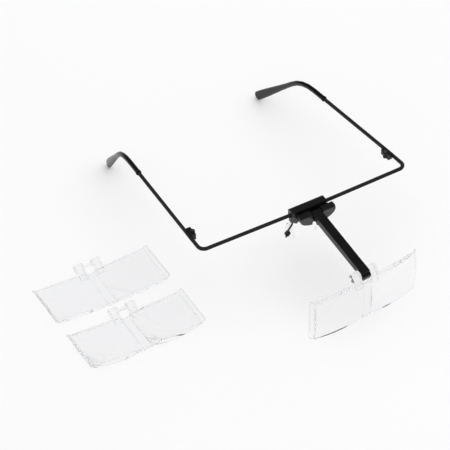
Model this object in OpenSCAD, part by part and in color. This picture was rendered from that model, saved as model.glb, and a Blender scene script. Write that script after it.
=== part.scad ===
// Head visor magnifier: a wire spectacle frame with folding temples, a clip on the bar
// that carries two nose pads and a flip-up arm, a clear double lens that snaps on the
// arm's hook by its cross rod, and two loose lenses of other powers.
// +Z is up and the front faces -Y. The set stands on the two temple tips and on the
// lower edge of the mounted lens, and the loose lenses lie beside it, front face down.

/* [Front bar] */
// Width of the front bar, from corner to corner
frame_w = 153.6; // [140:0.2:165]
// Height of the bar's wire above the table
bar_z = 49.2; // [47.4:0.2:51]
// Diameter of the bar's wire
wire_d = 2.5; // [2.3:0.05:2.6]
// How far the middle of the bar is bowed forward
bar_bow = 1.2; // [0.4:0.1:1.8]
// Bend radius of the two corners
corner_r = 4.5; // [3.5:0.5:7]
// Inward turn of the bar's left side arm, in degrees
left_turn = 2; // [0:0.2:6]
// Inward turn of the bar's right side arm, in degrees
right_turn = 5; // [0:0.2:6]
// Slope of the whole frame down to the back, in degrees
frame_slope = 2.9; // [1.5:0.1:4]

/* [Hinges] */
// Distance from the bar back to the hinge axes
hinge_back = 17.6; // [15:0.2:22]
// Distance from the wire's centre in to the hinge axis
hinge_in = 3.1; // [3.05:0.05:3.6]
// Diameter of the hinge knuckles
knuckle_d = 3.4; // [3:0.1:3.5]
// Height of a hinge, from its lower to its upper knuckle
hinge_h = 4.4; // [4:0.1:5.4]
// Height of the temple's middle knuckle
eye_h = 1.4; // [1:0.1:1.8]
// Length of each hinge leaf along the wire
leaf_len = 4; // [3.2:0.2:6]
// Diameter of the hinge screws
screw_d = 1.2; // [1:0.05:1.5]

/* [Temples] */
// Length of a temple from its hinge to the bend
temple_len = 93.8; // [85:0.2:105]
// Width of the flattened temple wire
temple_w = 2.1; // [1.7:0.1:2.2]
// Inward turn of the left temple on its hinge, in degrees
left_open = 0.4; // [0:0.2:6]
// Inward turn of the right temple on its hinge, in degrees
right_open = 1; // [0:0.2:6]
// Length of the plastic sleeve ahead of the bend
sleeve_len = 24.8; // [22:0.2:30]
// Length that the bend takes on each side of its corner
bend_len = 13; // [10:0.5:15]
// Thickness of the sleeve
sleeve_t = 3.3; // [3.1:0.1:3.8]
// Bend of the left ear tip down from its temple, in degrees
left_drop = 47.5; // [38:0.5:52]
// Bend of the right ear tip down from its temple, in degrees
right_drop = 41.5; // [38:0.5:52]
// Inward turn of the left ear tip, in degrees
left_in = 9.8; // [4:0.1:14]
// Inward turn of the right ear tip, in degrees
right_in = 6.6; // [4:0.1:14]
// Width of the flat end of an ear tip
paddle_w = 6.4; // [5:0.2:8]
// Thickness of the flat end of an ear tip
paddle_t = 2.8; // [2.4:0.1:3.4]

/* [Clip] */
// Centre of the clip, to the right of the bar's middle
clip_x = 1.6; // [0:0.2:4]
// Length of the clip along the bar
clip_len = 25.6; // [24:0.2:29]
// Depth of the clip from front to back
clip_t = 5.4; // [5.2:0.1:6]
// Thickness of the cap above the wire's centre
cap_h = 3.5; // [2.8:0.1:4.4]
// Thickness of the base under the wire's centre
base_h = 3.3; // [3.1:0.1:4.2]
// Width of the two lugs that hold the nose wires
lug_w = 6; // [5:0.2:7]
// How far the lugs hang under the base
lug_drop = 4; // [3:0.2:5]
// Thickness of the lugs
lug_t = 2.2; // [2:0.1:2.8]
// Diameter of the small clip screws
clip_screw_d = 1.1; // [0.9:0.05:1.2]

/* [Arm bracket] */
// Centre of the bracket and the arm, to the right of the clip's centre
arm_shift = 3.2; // [0:0.2:4]
// Width of the half-round bracket
bracket_w = 26.4; // [25:0.2:30]
// Height of the half-round bracket
bracket_h = 9.2; // [8.8:0.2:11]
// Thickness of the bracket from front to back
bracket_t = 5.6; // [5.4:0.1:6.4]
// Radius along the bracket's upper front edge
bracket_edge_r = 1.6; // [1:0.1:2]
// Gap on each side of the arm in the bracket's slot
slot_play = 0.8; // [0.5:0.1:1.2]
// Diameter of the pivot pin
pin_d = 1.6; // [1.3:0.1:2]
// Radius of the arm's barrel round the pin
barrel_r = 2.3; // [2:0.1:2.4]

/* [Arm] */
// Length of the arm from its pivot to the lens rod
arm_len = 52.4; // [46:0.2:60]
// Width of the arm
arm_w = 6.3; // [5.5:0.1:7.5]
// Thickness of the arm ahead of the barrel
arm_t = 4.4; // [4:0.1:4.6]
// Sideways angle of the arm on its pivot, in degrees
arm_turn = 5; // [0:0.5:6]
// Depth of the channel moulded in the arm's underside
channel_h = 1.2; // [0.6:0.1:1.8]

/* [Lenses] */
// Width of a lens over its two turned-back ends
lens_w = 84; // [76:1:92]
// Height of a lens
lens_h = 32.1; // [29:0.1:34]
// Width of the flat strip between the two halves
strip_w = 5.6; // [4:0.2:7]
// Thickness of the flat strip
strip_t = 2; // [1.6:0.1:2.6]
// Angle that each half is turned back, in degrees
lens_wrap = 3; // [2:0.5:5]
// Thickness of a half at its corners
rim_t = 1.4; // [1.2:0.1:2]
// How far each end wall reaches outwards
wing_out = 2.2; // [1.4:0.1:3]
// How far each end wall reaches back
wing_back = 1.8; // [1.4:0.1:2.6]
// Diameter of the cross rod
rod_d = 2.5; // [2.2:0.1:2.8]
// Height of the rod above the lens's upper edge
rod_rise = 2.7; // [2.6:0.1:3.4]
// Distance from the rod forward to the strip's back
rod_back = 3.4; // [3.2:0.1:4]
// Width of each of the rod's two ears
ear_w = 5.4; // [4:0.1:7]
// Side gap between the hook and each ear
ear_play = 0.45; // [0.35:0.05:0.8]
// Radius of an ear's round top
ear_r = 3.1; // [2.6:0.1:3.4]
// Front radius of the mounted lens, of medium power
mounted_dome_r = 85; // [75:1:110]
// Front radius of the weak loose lens
weak_dome_r = 140; // [115:1:180]
// Front radius of the strong loose lens
strong_dome_r = 56; // [50:1:70]

/* [Loose lenses] */
// Centre of the weak lens, to the left of the bar's middle
weak_x = 125.4; // [118:0.2:140]
// Centre of the weak lens behind the bar
weak_y = 45; // [42:1:60]
// Centre of the strong lens, to the left of the bar's middle
strong_x = 127; // [122:0.2:140]
// Centre of the strong lens behind the bar
strong_y = -3.6; // [-12:0.2:0]
// Turn of the loose lenses on the table, in degrees
loose_turn = -0.5; // [-4:0.5:4]

/* [Nose pads] */
// Half the distance between the two pads' centres
pad_half = 10; // [9.4:0.2:12]
// Distance of the pads' centres behind the bar
pad_back = 4.4; // [4:0.2:6]
// Distance of the pads' centres under the wire
pad_under = 20; // [18:0.2:22]
// Height of a pad
pad_h = 14.4; // [12:0.2:16]
// Width of a pad
pad_w = 7.6; // [6.5:0.1:9]
// Thickness of a pad
pad_t = 2.4; // [2:0.1:3]
// Turn of a pad's face to the back, in degrees
pad_turn = 30; // [20:1:40]
// Diameter of the nose wires
nose_wire_d = 1.2; // [1:0.05:1.3]
// Diameter of the small boxes that hold the pads
box_d = 3.6; // [3:0.1:4]

/* [Fits] */
// Radial clearance of a piece that turns on a pin
run_fit = 0.06; // [0.03:0.01:0.09]
// Radial clearance of a pin held in its own piece
hold_fit = 0.01; // [0.01:0.01:0.03]
// Gap between a moving face and the one beside it
side_gap = 0.08; // [0.05:0.01:0.15]
// Gap between two ends or round faces that pass each other
pass_gap = 0.3; // [0.25:0.05:0.4]

/* [Hidden] */

$fn = 64;
dome_fn = 256;
tip_sides = 20;
// Lap of a straight length of wire into a bend, which is a trace thicker
lap = 0.25;
bend_swell = 0.06;
black = "#26272a";
satin = "#33353a";
steel = "#8c8f94";
clear = [0.8, 0.86, 0.9, 0.55];
soft_clear = [0.85, 0.88, 0.9, 0.6];

wire_r = wire_d / 2;
knuckle_r = knuckle_d / 2;
bar_angle = atan(bar_bow / (frame_w / 2));
bar_half = norm([frame_w / 2, bar_bow]);
function side_turn(side) = side < 0 ? left_turn : right_turn;
// Bend of a corner, and the length it takes on the bar and on the side arm
function corner_bend(turn) = 90 - bar_angle + turn;
function corner_reach(turn) = corner_r * tan(corner_bend(turn) / 2);
// How far a corner's round reaches past the crossing of the bar and the side arm
function corner_out(turn) = corner_r * (1 - cos(turn)) - corner_reach(turn) * sin(turn);

// The clip's faces: its front is set off the wire and its back from its depth
wire_cover = 2;
clip_front = -bar_bow - wire_cover;
clip_back = clip_front + clip_t;
cap_bottom = bar_z + side_gap;
cap_top = bar_z + cap_h;
base_top = bar_z - side_gap;
base_bottom = bar_z - base_h;
clip_screw_y = clip_back - clip_screw_d / 2 - 0.45;
clip_screw_dx = clip_len / 2 - 2;
bracket_screw_dx = 6;
bracket_screw_z = base_bottom + 0.95;
lug_in = clip_len / 2 - lug_w + 1.2;
lug_hole_x = lug_in + lug_w * 0.68;
lug_hole_z = bar_z - base_h - lug_drop * 0.5;

// The arm's pivot, and the drop that brings the lens's lower edge down to the table
arm_x = clip_x + arm_shift;
bracket_step = 2.4;
bracket_top = cap_top - bracket_step;
bracket_back = clip_front;
bracket_front = bracket_back - bracket_t;
bracket_straight = 2.4;
bracket_round = bracket_h - bracket_straight;
groove_w = 1.1;
groove_h = 2.4;
pivot_y = clip_front - bracket_t / 2 - 0.2;
pivot_z = bracket_top - barrel_r - 0.1;
rod_z = lens_h + rod_rise;
arm_drop = asin((pivot_z - rod_z) / arm_len);
slot_w = arm_w + 2 * slot_play;
pin_grip = 4;
pin_l = slot_w + 2 * pin_grip;
channel_end = 9;

// The share of the pad's width that its narrower top has
pad_top = 0.72;
// The pad's post and the box that takes it
post_d = 1;
post_l = 1.6;
box_l = post_l + 0.6;

// The hook's outline round the lens rod
seat_r = rod_d / 2 + run_fit;
hook_top = seat_r + 2.1;
hook_front = seat_r + 3;
hook_low = min(seat_r + 0.8, rod_rise - 0.5);
ear_gap = arm_w + 2 * ear_play;
notch_h = 1.9;

// A lens half
half_span = lens_w / 2 - wing_out;
dome_w = half_span - strip_w / 2;
dome_mid = strip_w / 2 + dome_w / 2;
lens_z = -rod_rise - lens_h;
wing_t = rim_t - 0.3;
ear_root = rim_t - 0.4;
function dome_t(r) = rim_t + (pow(dome_w / 2, 2) + pow(lens_h / 2, 2)) / (2 * r);
// How far the front of a dome stands ahead of the strip's back
function dome_front(r) = r - (dome_mid * sin(lens_wrap) + (r - dome_t(r)) * cos(lens_wrap));

// The temples and their tips, in a frame that follows the wire back from the hinge
function tip_dir(drop, inward) =
    [-sin(inward) * cos(drop), cos(inward) * cos(drop), -sin(drop)];
wire_in = sleeve_len - bend_len - 1;
paddle_r = paddle_w / 2;
function turned(side, open) = side_turn(side) + open;
// How far back from the bar a temple's bend lies, along the frame's slope
function bend_back(side, open) = hinge_back * cos(side_turn(side)) - hinge_in * sin(side_turn(side))
    + hinge_in * sin(turned(side, open)) + temple_len * cos(turned(side, open));
function bend_z(side, open) = bar_z - sin(frame_slope) * bend_back(side, open);
function tip_run(side, open, dir) = dir[1] * cos(turned(side, open)) + dir[0] * sin(turned(side, open));
function tip_fall(side, open, dir) =
    sin(frame_slope) * tip_run(side, open, dir) - cos(frame_slope) * dir[2];
// Length from the bend to the centre of the round end, so that the end rests on the table
function tip_reach(side, open, dir) = (bend_z(side, open) - paddle_r) / tip_fall(side, open, dir);
// How far behind the bar a tip ends
function tip_back(side, open, dir) = let (run = tip_reach(side, open, dir) + paddle_r)
    cos(frame_slope) * (bend_back(side, open) + run * tip_run(side, open, dir))
    + sin(frame_slope) * run * dir[2];

// The set's outline on the table, which places its middle at the origin
loose_left = max(weak_x, strong_x) + lens_w / 2 * cos(loose_turn) + lens_h / 2 * abs(sin(loose_turn));
frame_right = frame_w / 2 + wire_r + corner_out(right_turn);
set_back = max(tip_back(-1, left_open, tip_dir(left_drop, left_in)),
    tip_back(1, right_open, tip_dir(right_drop, right_in)));
rod_y = pivot_y - arm_len * cos(arm_drop) * cos(arm_turn);
set_front = rod_y - rod_back - strip_t - 2.5;
mid_x = (frame_right - loose_left) / 2;
mid_y = (set_front + set_back) / 2;

// Places
module in_set() translate([-mid_x, -mid_y, 0]) children();
module in_frame() in_set() translate([0, 0, bar_z]) rotate([-frame_slope, 0, 0]) children();
module on_side(side) mirror([side < 0 ? 1 : 0, 0, 0]) children();
module at_hinge(side) in_frame() on_side(side) translate([frame_w / 2, 0, 0])
    rotate([0, 0, side_turn(side)]) translate([-hinge_in, hinge_back, 0]) children();
module on_temple(side, open) at_hinge(side) rotate([0, 0, open]) children();
module at_pivot() in_set() translate([arm_x, pivot_y, pivot_z]) children();
module at_rod() at_pivot() rotate([0, 0, arm_turn]) rotate([arm_drop, 0, 0])
    translate([0, -arm_len, 0]) rotate([-arm_drop, 0, 0]) children();
module at_pad(side) in_set() translate([clip_x, 0, bar_z]) on_side(side)
    translate([pad_half, pad_back, -pad_under]) rotate([0, 0, -pad_turn]) children();

// Helpers
// A slab across the width: its outline is drawn in Y and Z
module slab(w) rotate([90, 0, 90]) linear_extrude(w, center = true) children();
module across(d, l) rotate([0, 90, 0]) cylinder(d = d, h = l, center = true);
module along(d, l) rotate([-90, 0, 0]) cylinder(d = d, h = l);

// A closed skin through equal rings of points
module loft(rings) {
    n = len(rings[0]);
    m = len(rings);
    points = [for (ring = rings) for (p = ring) p];
    lower = [for (i = [0 : m - 2]) for (j = [0 : n - 1])
        [i * n + j, (i + 1) * n + j, i * n + (j + 1) % n]];
    upper = [for (i = [0 : m - 2]) for (j = [0 : n - 1])
        [i * n + (j + 1) % n, (i + 1) * n + j, (i + 1) * n + (j + 1) % n]];
    start = [for (j = [0 : n - 1]) j];
    end = [for (j = [n - 1 : -1 : 0]) (m - 1) * n + j];
    polyhedron(points, concat([start], lower, upper, [end]), convexity = 4);
}
function unit(v) = v / norm(v);
// An oval ring round a path's point, with half sizes a to the side and b upwards
function oval(p, dir, a, b, sides) =
    let (s = unit([dir[1], -dir[0], 0]), u = cross(s, unit(dir)))
    [for (k = [0 : sides - 1]) p + a * cos(-360 * k / sides) * s + b * sin(-360 * k / sides) * u];

// Half of the front bar, with its corner and the side arm back to the hinge
module half_bar(turn) {
    reach = corner_reach(turn);
    intersection() {
        translate([0, -bar_bow, 0]) rotate([0, 0, bar_angle]) rotate([0, 90, 0])
            translate([0, 0, -wire_d]) cylinder(d = wire_d, h = bar_half - reach + wire_d + lap);
        translate([0, -frame_w / 2, -wire_d]) cube([frame_w, frame_w, 2 * wire_d]);
    }
    translate([frame_w / 2, 0, 0]) rotate([0, 0, turn]) {
        translate([-corner_r, reach, 0]) rotate([0, 0, -corner_bend(turn)])
            rotate_extrude(angle = corner_bend(turn))
                translate([corner_r, 0]) circle(d = wire_d + bend_swell);
        translate([0, reach - lap, 0]) along(wire_d, hinge_back - reach - side_gap + lap);
    }
}
module frame_wire() color(black) in_frame() {
    half_bar(right_turn);
    mirror([1, 0, 0]) half_bar(left_turn);
}

// Hinges
module screw_bore(d) translate([0, 0, -hinge_h]) cylinder(d = d, h = 2 * hinge_h);
// One leaf: a knuckle on the axis and a plate beside the wire, hollowed to seat the wire
module leaf_blank(h) {
    cylinder(d = knuckle_d, h = h, center = true);
    translate([-0.5, 0, -h / 2]) cube([hinge_in - 0.1, leaf_len, h]);
}
module hinge_leaf(side) color(black) at_hinge(side) mirror([0, 1, 0]) difference() {
    leaf_blank(hinge_h);
    cylinder(r = knuckle_r + pass_gap, h = eye_h + 2 * side_gap, center = true);
    screw_bore(screw_d + 2 * hold_fit);
    translate([hinge_in, 0, 0]) rotate([90, 0, 0])
        cylinder(r = wire_r + hold_fit, h = 4 * leaf_len, center = true);
    translate([-hinge_in, -knuckle_d, -hinge_h])
        cube([4 * hinge_in, knuckle_d - knuckle_r - 0.01, 2 * hinge_h]);
}
module temple_eye(side, open) color(black) on_temple(side, open) difference() {
    union() {
        leaf_blank(eye_h);
        difference() {
            translate([-0.5, 0, -hinge_h / 2]) cube([hinge_in - 0.1, leaf_len, hinge_h]);
            cylinder(r = knuckle_r + pass_gap, h = 2 * hinge_h, center = true);
        }
    }
    screw_bore(screw_d + 2 * run_fit);
    translate([hinge_in, -1, 0]) along(wire_d + 2 * hold_fit, 2 * leaf_len);
}
module hinge_screw(side) color(steel) at_hinge(side) difference() {
    union() {
        translate([0, 0, -hinge_h / 2 - 0.2]) cylinder(d = screw_d, h = hinge_h + 0.2 + side_gap);
        translate([0, 0, hinge_h / 2 + side_gap]) cylinder(d1 = 2 * screw_d, d2 = 1.6 * screw_d, h = 0.7);
    }
    translate([-2 * screw_d, -0.15, hinge_h / 2 + 0.45]) cube([4 * screw_d, 0.3, 1]);
}

// Temples
module temple_wire(side, open) color(black) on_temple(side, open) intersection() {
    translate([hinge_in, side_gap, 0])
        along(wire_d, temple_len - sleeve_len + wire_in - side_gap);
    translate([hinge_in - temple_w / 2, 0, -wire_d]) cube([temple_w, temple_len, 2 * wire_d]);
}
// The tip's path: straight on the wire, a bend, and straight down to the round end
function tip_point(t, dir) =
    t < 0 ? [0, temple_len - bend_len + t, 0]
    : t < 1 ? [0, temple_len - bend_len + 2 * bend_len * t - bend_len * t * t, 0] + bend_len * t * t * dir
    : [0, temple_len, 0] + (bend_len + t - 1) * dir;
function tip_tangent(t, dir) = t < 0 ? [0, 1, 0] : t < 1 ? (1 - t) * [0, 1, 0] + t * dir : dir;
// Growth of the paddle, from 0 at the bend to 1 at the end
function swell(t, straight) = t < 1 ? 0 : pow(sin(90 * min(1, (t - 1) / straight)), 2);
module temple_tip(side, open, drop, inward) {
    dir = tip_dir(drop, inward);
    straight = tip_reach(side, open, dir) - bend_len;
    collar = 1.5;
    half_t = sleeve_t / 2;
    flats = [for (i = [0 : 8]) 1 + straight * i / 8];
    sleeve = [-(sleeve_len - bend_len) + collar, -4, 0, 0.25, 0.5, 0.75];
    cap = [for (a = [15 : 15 : 75]) a];
    color(satin) on_temple(side, open) translate([hinge_in, 0, 0]) {
        difference() {
            loft(concat(
                [for (t = sleeve)
                    oval(tip_point(t, dir), tip_tangent(t, dir), half_t, half_t + 0.1, tip_sides)],
                [for (t = flats) let (g = swell(t, straight))
                    oval(tip_point(t, dir), dir, half_t + g * (paddle_t - sleeve_t) / 2,
                        half_t + 0.1 + g * (paddle_r - half_t - 0.1), tip_sides)],
                [for (a = cap) oval(tip_point(1 + straight + paddle_r * sin(a), dir), dir,
                    paddle_t / 2 * cos(a), paddle_r * cos(a), tip_sides)]));
            wire_channel();
        }
        difference() {
            translate([0, temple_len - sleeve_len, 0]) along(sleeve_t + 0.4, collar);
            wire_channel();
        }
    }
}
module wire_channel() intersection() {
    translate([0, temple_len - sleeve_len - 1, 0]) along(wire_d + 2 * hold_fit, wire_in + 1 + side_gap);
    translate([-temple_w / 2 - hold_fit, 0, -wire_d])
        cube([temple_w + 2 * hold_fit, temple_len, 2 * wire_d]);
}

// Clip
module wire_groove() translate([clip_x, -bar_bow * (1 - 2 * clip_x / frame_w), bar_z])
    across(wire_d + 2 * pass_gap, 2 * clip_len);
module at_clip_screws() for (dx = [-clip_screw_dx, clip_screw_dx])
    translate([clip_x + dx, clip_screw_y, base_bottom]) children();
module at_bracket_screws() for (dx = [-bracket_screw_dx, bracket_screw_dx])
    translate([arm_x + dx, clip_back, bracket_screw_z]) rotate([90, 0, 0]) children();
module clip_cap() color(black) in_set() difference() {
    translate([clip_x, 0, 0]) slab(clip_len) polygon([
        [clip_front, cap_bottom], [clip_front, cap_top - 0.4], [clip_front + 0.4, cap_top],
        [clip_back - 0.9, cap_top], [clip_back, cap_top - 0.9], [clip_back, cap_bottom]]);
    wire_groove();
    at_clip_screws() cylinder(d = clip_screw_d + 2 * hold_fit, h = base_h + cap_h - 0.9);
}
module clip_base() color(black) in_set() difference() {
    union() {
        translate([clip_x, 0, 0]) slab(clip_len) polygon([
            [clip_front, base_bottom], [clip_front, base_top], [clip_back, base_top],
            [clip_back, base_bottom + 0.6], [clip_back - 0.6, base_bottom]]);
        translate([clip_x, clip_front + lug_t, base_top]) for (side = [-1, 1]) on_side(side)
            translate([lug_in, 0, 0]) rotate([90, 0, 0]) linear_extrude(lug_t) lug_side();
    }
    wire_groove();
    translate([clip_x, clip_front + lug_t / 2, lug_hole_z - 2 * lug_drop]) for (side = [-1, 1])
        translate([side * lug_hole_x, 0, 0]) cylinder(d = nose_wire_d + 2 * hold_fit, h = 2 * lug_drop + 0.1);
    at_clip_screws() translate([0, 0, -1]) cylinder(d = clip_screw_d + 2 * hold_fit, h = base_h + 1);
    at_bracket_screws() translate([0, 0, -1])
        cylinder(d = clip_screw_d + 2 * hold_fit, h = clip_t + 2);
}
// A lug hangs down with a slanted foot, drilled for the nose wire
module lug_side() polygon([[0, 0], [lug_w, 0], [lug_w, -base_h - 0.2 * lug_drop],
    [lug_w * 0.25, -base_h - lug_drop], [0, -base_h - 0.8 * lug_drop]]);
module small_screw(l) {
    translate([0, 0, -0.7]) cylinder(d = 2 * clip_screw_d, h = 0.7);
    cylinder(d = clip_screw_d, h = l);
}
module clip_screws() color(steel) in_set() at_clip_screws() small_screw(base_h + cap_h - 1.2);
module bracket_screws() color(steel) in_set() at_bracket_screws() small_screw(clip_t + 1.4);

// Arm bracket: a half-round block with a rounded upper front edge and a slot for the arm
module arm_bracket() color(black) in_set() difference() {
    intersection() {
        translate([arm_x, bracket_back, bracket_top]) rotate([90, 0, 0]) linear_extrude(bracket_t)
            bracket_outline();
        translate([arm_x, 0, 0]) slab(2 * bracket_w) bracket_side();
    }
    translate([arm_x - slot_w / 2, bracket_front - 1, pivot_z - barrel_r - pass_gap])
        cube([slot_w, bracket_t + 2, 2 * bracket_h]);
    translate([arm_x - slot_w / 2, bracket_front - 1, bracket_top - bracket_h - 1])
        cube([slot_w, pivot_y - bracket_front + 1 - 0.5, 2 * bracket_h]);
    translate([arm_x, pivot_y, pivot_z]) across(pin_d + 2 * hold_fit, pin_l);
    at_bracket_screws() cylinder(d = clip_screw_d + 2 * hold_fit, h = clip_t + 1.5);
}
module bracket_outline() {
    translate([-bracket_w / 2, -bracket_straight]) square([bracket_w, bracket_straight]);
    translate([0, -bracket_straight]) intersection() {
        scale([bracket_w / 2, bracket_round]) circle(r = 1, $fn = 96);
        translate([-bracket_w, -2 * bracket_h]) square([2 * bracket_w, 2 * bracket_h]);
    }
}
module bracket_side() difference() {
    union() {
        translate([bracket_front, bracket_top - bracket_h - 1])
            square([bracket_t, bracket_h + 1 - bracket_edge_r]);
        translate([bracket_front + bracket_edge_r, bracket_top - bracket_edge_r])
            circle(r = bracket_edge_r);
        translate([bracket_front + bracket_edge_r, bracket_top - bracket_h])
            square([bracket_t - bracket_edge_r, bracket_h]);
    }
    translate([bracket_back - groove_w, bracket_top - groove_h]) square([groove_w + 1, groove_h + 1]);
}
module arm_pin() color(steel) in_set()
    translate([arm_x, pivot_y, pivot_z]) across(pin_d, pin_l - 2 * side_gap);

// Arm: a barrel on the pin, a strip and a hook that snaps over the lens rod
module arm_outline() difference() {
    union() {
        polygon([[0, barrel_r], [0, -barrel_r], [-6, -barrel_r],
            [-arm_len + 3.4, hook_top - arm_t], [-arm_len + 2, hook_top - 1],
            [-arm_len - hook_front + 1.8, hook_top], [-8, barrel_r]]);
        translate([-arm_len, 0]) rotate(arm_drop) hook_outline();
        translate([-6.8, -barrel_r - 1.1]) square([1.3, 2]);
    }
    translate([-arm_len, 0]) circle(r = seat_r);
}
module hook_outline() {
    polygon([[-hook_front, hook_top - 2.6], [-hook_front - 0.2, -hook_low + 0.2],
        [-hook_front + 1, -hook_low], [-1, -hook_low + 0.3], [0, 0], [seat_r + 1.3, -0.3],
        [seat_r + 1.9, 1.2], [3.6, hook_top - 0.6], [-hook_front + 2, hook_top - 0.8]]);
    translate([-hook_front + 1.9, hook_top - 2.6]) circle(r = 1.9);
}
module arm_body() rotate([0, 0, arm_turn]) rotate([arm_drop, 0, 0]) difference() {
    slab(arm_w) arm_outline();
    translate([0, -arm_len / 2, -arm_t + channel_h + 0.75]) rotate([-1.2, 0, 0])
        translate([-arm_w / 4, -arm_len / 2 + channel_end, -arm_t])
            cube([arm_w / 2, arm_len - 2 * channel_end, arm_t]);
    translate([-arm_w, -4, -2 * barrel_r]) cube([2 * arm_w, 8, 4 * barrel_r]);
}
module lens_arm() color(black) at_pivot() difference() {
    union() {
        arm_body();
        across(2 * barrel_r, arm_w);
        rotate([arm_drop, 0, 0]) slab(arm_w)
            polygon([[0, barrel_r], [0, -barrel_r], [-4.4, -barrel_r], [-4.4, barrel_r]]);
    }
    across(pin_d + 2 * run_fit, 2 * arm_w);
}

// Lenses, drawn with the rod's axis at the origin and the front to -Y
module lens_half(dome_r) {
    t = dome_t(dome_r);
    translate([0, -rod_back, 0]) rotate([0, 0, lens_wrap]) {
        intersection() {
            translate([strip_w / 2, -2 * t, lens_z - 1]) cube([dome_w, 2 * t, lens_h + 2]);
            translate([dome_mid, dome_r - t, lens_z + lens_h / 2]) sphere(r = dome_r, $fn = dome_fn);
        }
        translate([0, 0, lens_z - 1]) linear_extrude(lens_h + 2) polygon([
            [half_span - 0.4, 0], [half_span - 0.4, -wing_t], [half_span, -wing_t],
            [half_span + wing_out, wing_back - wing_t], [half_span + wing_out, wing_back]]);
    }
}
module ear() slab(ear_w) union() {
    circle(r = ear_r);
    polygon([[-ear_r, 0], [ear_r, 0], [-rod_back + 0.6, -rod_rise - 5.4],
        [-rod_back - ear_root, -rod_rise - 5.4], [-rod_back - ear_root, -rod_rise + 0.6]]);
}
module lens(dome_r) color(clear) difference() {
    union() {
        intersection() {
            union() {
                lens_half(dome_r);
                mirror([1, 0, 0]) lens_half(dome_r);
                translate([-strip_w / 2 - 0.3, -rod_back - strip_t, lens_z - 1])
                    cube([strip_w + 0.6, strip_t, lens_h + 2]);
            }
            translate([-lens_w, -lens_w, lens_z]) cube([2 * lens_w, 2 * lens_w, lens_h]);
        }
        for (side = [-1, 1]) translate([side * (ear_gap + ear_w) / 2, 0, 0]) ear();
        across(rod_d, ear_gap + ear_w);
    }
    translate([-ear_gap / 2, -lens_h, -rod_rise - notch_h]) cube([ear_gap, lens_h, notch_h + 1]);
}
module mounted_lens() at_rod() lens(mounted_dome_r);
module loose_lens(dome_r, x, y) in_set()
    translate([x, y, dome_front(dome_r)]) rotate([0, 0, 180 + loose_turn]) rotate([90, 0, 0])
        translate([0, rod_back, rod_rise + lens_h / 2]) lens(dome_r);
module weak_spare_lens() loose_lens(weak_dome_r, -weak_x, weak_y);
module strong_spare_lens() loose_lens(strong_dome_r, -strong_x, strong_y);

// Nose pads: a wire from each lug, a small box, and a clear soft pad screwed in the box
module pad_box(side) color(black) at_pad(side)
    translate([pad_t / 2 + pass_gap, 0, 0]) rotate([0, 90, 0]) difference() {
        cylinder(d = box_d, h = box_l);
        translate([0, 0, -1]) cylinder(d = post_d + 2 * run_fit, h = post_l + 1 + side_gap);
    }
module nose_pad(side) color(soft_clear) at_pad(side) {
    hull() {
        translate([0, 0, (pad_h - pad_top * pad_w) / 2]) scale([pad_t / pad_w, pad_top, pad_top])
            sphere(d = pad_w, $fn = 32);
        translate([0, 0, (pad_w - pad_h) / 2]) scale([pad_t / pad_w, 1, 1])
            sphere(d = pad_w, $fn = 32);
    }
    translate([pad_t / 2 - 0.4, 0, 0]) rotate([0, 90, 0]) cylinder(d = post_d, h = 0.4 + pass_gap + post_l);
}
module nose_wire(side) {
    out = pad_t / 2 + pass_gap + box_l + nose_wire_d / 2 + 0.02;
    box = [pad_half + out * cos(pad_turn), pad_back - out * sin(pad_turn), bar_z - pad_under];
    top = [lug_hole_x, clip_front + lug_t / 2, lug_hole_z];
    route = [top, top - [0, 0, 2.2], (top - [0, 0, 2.2] + box) / 2 + [0.5, -0.5, 1],
             box + [0, 0, box_d / 2], box - [0, 0, box_d / 2]];
    color(black) in_set() translate([clip_x, 0, 0]) on_side(side)
        loft([for (i = [0 : 4]) let (dir = i == 0 ? route[1] - route[0] + [0.001, 0, 0]
            : i == 4 ? route[4] - route[3] : route[i + 1] - route[i - 1])
            wire_ring(route[i], dir)]);
}
function wire_ring(p, dir) =
    let (d = unit(dir), s = unit(cross(d, [0, 1, 0])), u = cross(s, d))
    [for (k = [0 : 11]) p + nose_wire_d / 2 * (cos(-30 * k) * s + sin(-30 * k) * u)];

frame_wire();
hinge_leaf(-1);  // left_hinge_leaf
hinge_leaf(1);  // right_hinge_leaf
hinge_screw(-1);  // left_hinge_screw
hinge_screw(1);  // right_hinge_screw
clip_cap();
clip_base();
clip_screws();
arm_bracket();
bracket_screws();
arm_pin();
nose_wire(-1);  // left_nose_wire
nose_wire(1);  // right_nose_wire
pad_box(-1);  // left_pad_box
pad_box(1);  // right_pad_box
nose_pad(-1);  // left_nose_pad
nose_pad(1);  // right_nose_pad
temple_wire(-1, left_open);  // left_temple_wire
temple_wire(1, right_open);  // right_temple_wire
temple_eye(-1, left_open);  // left_temple_eye
temple_eye(1, right_open);  // right_temple_eye
temple_tip(-1, left_open, left_drop, left_in);  // left_temple_tip
temple_tip(1, right_open, right_drop, right_in);  // right_temple_tip
lens_arm();
mounted_lens();
weak_spare_lens();
strong_spare_lens();
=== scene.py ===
import math

import bpy
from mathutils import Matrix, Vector


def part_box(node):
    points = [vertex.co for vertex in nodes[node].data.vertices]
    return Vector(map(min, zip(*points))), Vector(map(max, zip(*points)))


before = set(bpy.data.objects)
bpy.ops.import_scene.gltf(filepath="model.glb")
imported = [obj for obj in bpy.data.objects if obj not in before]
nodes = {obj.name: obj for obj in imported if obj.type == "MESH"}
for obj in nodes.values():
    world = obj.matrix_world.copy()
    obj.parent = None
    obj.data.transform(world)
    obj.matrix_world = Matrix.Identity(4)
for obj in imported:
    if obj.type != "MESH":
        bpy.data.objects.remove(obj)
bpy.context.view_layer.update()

scene = bpy.context.scene

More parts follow.
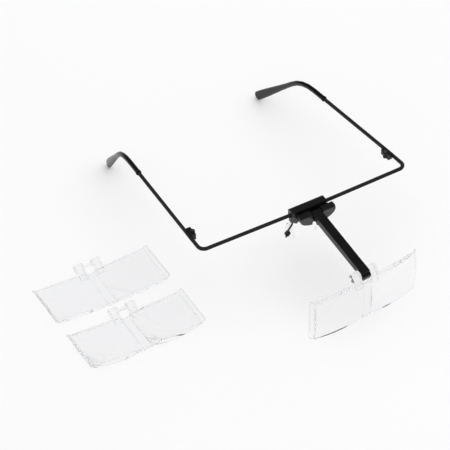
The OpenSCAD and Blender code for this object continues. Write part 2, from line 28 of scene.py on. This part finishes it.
# Camera: the photograph's angle, a long lens from the front left, above
wire_low, wire_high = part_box("frame_wire")
bar = Vector(((wire_low.x + wire_high.x) / 2, wire_low.y, 0))
eye = bar + Vector((-0.9028, -1.4308, 1.679))
aim = bar + Vector((-0.0261, 0.0586, 0))
camera_data = bpy.data.cameras.new("camera")
camera_data.lens = 293
camera_data.sensor_width = 36
camera_data.clip_end = 20
camera = bpy.data.objects.new("camera", camera_data)
camera.location = eye
camera.rotation_euler = (aim - eye).to_track_quat("-Z", "Y").to_euler()
scene.collection.objects.link(camera)
scene.camera = camera

# Sizes in metres: how far from an edge the finish is worn, how wide the painted shade on a clear edge is,
# and depths of marks
WORN_RADIUS = 0.00022
EDGE_SHADE_RADIUS = 0.0008
SCUFF_DEPTH = 0.00001
SCRATCH_DEPTH = 0.000002
# Mesh clean-up: points that count as one, faces that count as flat and edges that are rounded
WELD_DISTANCE = 0.000002
FLAT_ANGLE = math.radians(0.4)
SHARP_ANGLE = math.radians(32)
# Light: how bright the room is on the table, in a reflection, and when it is seen itself
ROOM_LIGHT = 0.78
DARK_ROOM = 0.12
WHITE_ROOM = 0.95
TABLE_SIZE = 14
TABLE_DROP = 0.0001


# Node helpers
def new_material(name):
    mat = bpy.data.materials.new(name)
    mat.use_nodes = True
    tree = mat.node_tree
    tree.nodes.clear()
    return mat, tree


def add(tree, kind):
    return tree.nodes.new(kind)


def noise(tree, coords, scale, detail=2.0, stretch=None):
    """Noise in the object's own space; stretch draws it out along one axis."""
    vector = coords.outputs["Object"]
    if stretch:
        mapping = add(tree, "ShaderNodeMapping")
        mapping.inputs["Scale"].default_value = stretch
        tree.links.new(vector, mapping.inputs["Vector"])
        vector = mapping.outputs["Vector"]
    tex = add(tree, "ShaderNodeTexNoise")
    tex.inputs["Scale"].default_value = scale
    tex.inputs["Detail"].default_value = detail
    tree.links.new(vector, tex.inputs["Vector"])
    return tex.outputs["Fac"]


def remap(tree, value, low, high, to_low, to_high):
    node = add(tree, "ShaderNodeMapRange")
    node.inputs["From Min"].default_value = low
    node.inputs["From Max"].default_value = high
    node.inputs["To Min"].default_value = to_low
    node.inputs["To Max"].default_value = to_high
    tree.links.new(value, node.inputs["Value"])
    return node.outputs["Result"]


def math_node(tree, operation, a, b):
    node = add(tree, "ShaderNodeMath")
    node.operation = operation
    for socket, value in zip(node.inputs, (a, b)):
        if isinstance(value, (int, float)):
            socket.default_value = value
        else:
            tree.links.new(value, socket)
    return node.outputs[0]


def blend(tree, factor, a, b):
    node = add(tree, "ShaderNodeMix")
    node.data_type = "RGBA"
    tree.links.new(factor, node.inputs["Factor"])
    for socket, value in ((node.inputs[6], a), (node.inputs[7], b)):
        if isinstance(value, tuple):
            socket.default_value = (*value, 1)
        else:
            tree.links.new(value, socket)
    return node.outputs[2]


def bumps(tree, layers):
    """Stacked bumps: each layer is a height, its depth in metres and its strength."""
    last = None
    for height, distance, strength in layers:
        node = add(tree, "ShaderNodeBump")
        node.inputs["Distance"].default_value = distance
        node.inputs["Strength"].default_value = strength
        tree.links.new(height, node.inputs["Height"])
        if last:
            tree.links.new(last, node.inputs["Normal"])
        last = node.outputs["Normal"]
    return last


def edge_mask(tree, radius):
    """1 on a convex or concave edge within the radius, 0 on the faces."""
    bevel = add(tree, "ShaderNodeBevel")
    bevel.inputs["Radius"].default_value = radius
    bevel.samples = 12
    geometry = add(tree, "ShaderNodeNewGeometry")
    dot = add(tree, "ShaderNodeVectorMath")
    dot.operation = "DOT_PRODUCT"
    tree.links.new(bevel.outputs["Normal"], dot.inputs[0])
    tree.links.new(geometry.outputs["Normal"], dot.inputs[1])
    return remap(tree, dot.outputs["Value"], 0.995, 0.86, 0.0, 1.0)


def finish(tree, shader):
    out = add(tree, "ShaderNodeOutputMaterial")
    tree.links.new(shader, out.inputs["Surface"])


def black(name, dark, light, rough, grain, grain_depth, sheen=0.5, wear=(0.10, 0.10, 0.105), draw=None):
    """A black finish: tone and roughness vary a little, the grain is a bump, and edges are rubbed lighter.

    dark and light are the tones, grain is the noise's scale and grain_depth its height in metres, sheen is
    the specular level, wear is the colour of a rubbed edge and draw stretches the grain.
    """
    mat, tree = new_material(name)
    coords = add(tree, "ShaderNodeTexCoord")
    broad = noise(tree, coords, 90, 3)
    fine = noise(tree, coords, grain, 2, draw)
    scuffs = noise(tree, coords, 420, 4, (1, 0.22, 1))
    tone = blend(tree, remap(tree, broad, 0.3, 0.7, 0, 1), dark, light)
    worn = math_node(tree, "MULTIPLY", edge_mask(tree, WORN_RADIUS),
                     remap(tree, scuffs, 0.42, 0.62, 0, 0.75))
    tone = blend(tree, worn, tone, wear)
    shader = add(tree, "ShaderNodeBsdfPrincipled")
    tree.links.new(tone, shader.inputs["Base Color"])
    roughness = math_node(tree, "ADD", remap(tree, broad, 0.3, 0.7, rough - 0.04, rough + 0.05),
                          remap(tree, scuffs, 0.55, 0.8, 0, 0.1))
    tree.links.new(roughness, shader.inputs["Roughness"])
    tree.links.new(bumps(tree, [(fine, grain_depth, 0.6), (scuffs, SCUFF_DEPTH, 0.15)]),
                   shader.inputs["Normal"])
    shader.inputs["Specular IOR Level"].default_value = sheen
    finish(tree, shader.outputs[0])
    return mat


def clear(name, tint, painted_edge_shade, rough, waviness, haze):
    """Clear plastic: faint flow lines, a few hairline scratches and dust, and duller edges with painted
    shade that draws them as grey lines.

    tint is the colour of the faces and the second colour is the painted shade on the edges, waviness is the
    flow lines' height in metres, and haze is how dull a speck of dust is.
    """
    mat, tree = new_material(name)
    coords = add(tree, "ShaderNodeTexCoord")
    flow = noise(tree, coords, 55, 1.5, (1, 0.5, 1))
    dust = noise(tree, coords, 2600, 1)
    scratch = add(tree, "ShaderNodeTexWave")
    scratch.inputs["Scale"].default_value = 140
    scratch.inputs["Distortion"].default_value = 14
    scratch.inputs["Detail"].default_value = 3
    tree.links.new(coords.outputs["Object"], scratch.inputs["Vector"])
    hairline = remap(tree, scratch.outputs["Fac"], 0.965, 1.0, 0, 1)
    shader = add(tree, "ShaderNodeBsdfPrincipled")
    shader.inputs["IOR"].default_value = 1.49
    # Painted shade on the rounded edges: a greyer colour, and some light scattered instead of let through,
    # so that they draw as soft grey lines
    edge = edge_mask(tree, EDGE_SHADE_RADIUS)
    tree.links.new(blend(tree, edge, tint, painted_edge_shade), shader.inputs["Base Color"])
    tree.links.new(remap(tree, edge, 0, 1, 1, 0.78), shader.inputs["Transmission Weight"])
    spots = remap(tree, dust, 0.70, 0.78, 0, haze)
    roughness = math_node(tree, "ADD", spots, remap(tree, flow, 0.3, 0.7, rough, rough + 0.02))
    roughness = math_node(tree, "ADD", roughness, remap(tree, edge, 0, 1, 0, 0.4))
    tree.links.new(roughness, shader.inputs["Roughness"])
    tree.links.new(bumps(tree, [(flow, waviness, 0.5), (hairline, SCRATCH_DEPTH, 0.2)]),
                   shader.inputs["Normal"])
    # Lamps and bounced light pass straight through, so that the table under a lens stays bright
    through = add(tree, "ShaderNodeBsdfTransparent")
    through.inputs["Color"].default_value = (0.985, 0.986, 0.987, 1)
    path = add(tree, "ShaderNodeLightPath")
    shown = shader.outputs[0]
    for ray in ("Is Shadow Ray", "Is Diffuse Ray"):
        mix = add(tree, "ShaderNodeMixShader")
        tree.links.new(path.outputs[ray], mix.inputs[0])
        tree.links.new(shown, mix.inputs[1])
        tree.links.new(through.outputs[0], mix.inputs[2])
        shown = mix.outputs[0]
    finish(tree, shown)
    return mat


wire_black = black("satin_black_coating", (0.015, 0.015, 0.016), (0.023, 0.023, 0.025), 0.5, 1500,
                   0.000012, sheen=0.12)
hinge_black = black("hinge_black", (0.006, 0.006, 0.007), (0.011, 0.011, 0.012), 0.45, 1100,
                    0.000012, sheen=0.35, wear=(0.06, 0.06, 0.064))
moulded = black("moulded_black", (0.003, 0.003, 0.0034), (0.007, 0.007, 0.0075), 0.36, 1900,
                0.000014, sheen=0.8, wear=(0.07, 0.07, 0.073))
arm_black = black("arm_black", (0.003, 0.003, 0.0034), (0.006, 0.006, 0.0066), 0.3, 1700,
                  0.00001, sheen=0.45, wear=(0.08, 0.08, 0.084))
sleeve = black("sleeve_black", (0.002, 0.002, 0.0025), (0.004, 0.004, 0.005), 0.26, 700,
               0.000006, sheen=0.38)
screw_black = black("screw_black", (0.030, 0.030, 0.032), (0.055, 0.055, 0.058), 0.34, 900,
                    0.00001, wear=(0.35, 0.35, 0.36), draw=(1, 1, 0.2))
# The second colour of each clear finish is painted shade on its rounded edges
acrylic = clear("clear_acrylic", (0.97, 0.97, 0.976), (0.80, 0.80, 0.81), 0.0, 0.00001, 0.15)
pad_clear = clear("clear_soft_plastic", (0.965, 0.965, 0.96), (0.70, 0.70, 0.70), 0.06, 0.00003, 0.3)

# The first key that is in a node's name gives its finish, and the width of its rounded edges in metres
FINISH = {
    "frame_wire": wire_black, "temple_wire": wire_black, "nose_wire": wire_black,
    "hinge_leaf": hinge_black, "temple_eye": hinge_black, "pad_box": hinge_black,
    "screw": screw_black, "arm_pin": screw_black,
    "clip_cap": moulded, "clip_base": moulded, "arm_bracket": moulded,
    "lens_arm": arm_black, "temple_tip": sleeve,
    "nose_pad": pad_clear, "lens": acrylic,
}
EDGE = {
    "clip_cap": 0.00035, "clip_base": 0.0003, "arm_bracket": 0.00035, "lens_arm": 0.0005,
    "hinge_leaf": 0.00012, "temple_eye": 0.00012, "mounted_lens": 0.0004, "spare_lens": 0.0004,
    "pad_box": 0.00012, "arm_pin": 0.0001, "temple_wire": 0.0001,
}


def chosen(table, name):
    for key, value in table.items():
        if key in name:
            return value
    return None


for name, ob in nodes.items():
    mesh = ob.data
    mesh.materials.clear()
    mesh.materials.append(chosen(FINISH, name))
    if mesh.has_custom_normals:
        mesh.attributes.remove(mesh.attributes["custom_normal"])
    mesh.polygons.foreach_set("use_smooth", [True] * len(mesh.polygons))
    weld = ob.modifiers.new("weld", "WELD")
    weld.merge_threshold = WELD_DISTANCE
    width = chosen(EDGE, name)
    if width:
        flat = ob.modifiers.new("flat", "DECIMATE")
        flat.decimate_type = "DISSOLVE"
        flat.angle_limit = FLAT_ANGLE
        bevel = ob.modifiers.new("edge", "BEVEL")
        bevel.width = width
        bevel.segments = 3
        bevel.limit_method = "ANGLE"
        bevel.angle_limit = SHARP_ANGLE
        bevel.use_clamp_overlap = True
    normals = ob.modifiers.new("normals", "WEIGHTED_NORMAL")
    normals.weight = 60

# Floor and light: a white table, a large soft light overhead and a white room round it
floor_mat, tree = new_material("white_table")
coords = add(tree, "ShaderNodeTexCoord")
paper = noise(tree, coords, 700, 3)
tone = blend(tree, remap(tree, noise(tree, coords, 3, 2), 0.3, 0.7, 0, 1),
             (0.93, 0.93, 0.93), (0.945, 0.945, 0.945))
shader = add(tree, "ShaderNodeBsdfPrincipled")
shader.inputs["Roughness"].default_value = 0.55
shader.inputs["Specular IOR Level"].default_value = 0.2
tree.links.new(tone, shader.inputs["Base Color"])
tree.links.new(bumps(tree, [(paper, 0.00002, 0.1)]), shader.inputs["Normal"])
finish(tree, shader.outputs[0])
bpy.ops.mesh.primitive_plane_add(size=TABLE_SIZE, location=(0, 0, -TABLE_DROP))
floor = bpy.context.object
floor.name = "floor"
floor.data.materials.append(floor_mat)

# The room lights softly; seen past the table or through clear plastic it is as white as the table
world = bpy.data.worlds.new("room")
world.use_nodes = True
tree = world.node_tree
background = tree.nodes["Background"]
background.inputs["Color"].default_value = (0.995, 0.995, 1.0, 1)
path = add(tree, "ShaderNodeLightPath")
seen = math_node(tree, "MAXIMUM", path.outputs["Is Camera Ray"], path.outputs["Is Transmission Ray"])
dim = remap(tree, path.outputs["Is Glossy Ray"], 0, 1, ROOM_LIGHT, DARK_ROOM)
bright = math_node(tree, "MULTIPLY", seen, WHITE_ROOM)
tree.links.new(math_node(tree, "MAXIMUM", dim, bright), background.inputs["Strength"])
scene.world = world


def area(name, place, aim, size, power):
    data = bpy.data.lights.new(name, "AREA")
    data.shape = "RECTANGLE"
    data.size, data.size_y = size
    data.energy = power
    lamp = bpy.data.objects.new(name, data)
    lamp.visible_glossy = False
    lamp.visible_transmission = False
    lamp.location = place
    lamp.rotation_euler = (Vector(aim) - Vector(place)).to_track_quat("-Z", "Y").to_euler()
    scene.collection.objects.link(lamp)


area("overhead", (0.35, 0.05, 1.8), (0.05, 0, 0), (2.6, 2.2), 15)

scene.view_settings.view_transform = "Standard"
scene.cycles.caustics_reflective = False
scene.cycles.caustics_refractive = False
scene.cycles.transparent_max_bounces = 24
scene.cycles.transmission_bounces = 40
scene.cycles.glossy_bounces = 40
scene.cycles.diffuse_bounces = 6
scene.cycles.max_bounces = 48
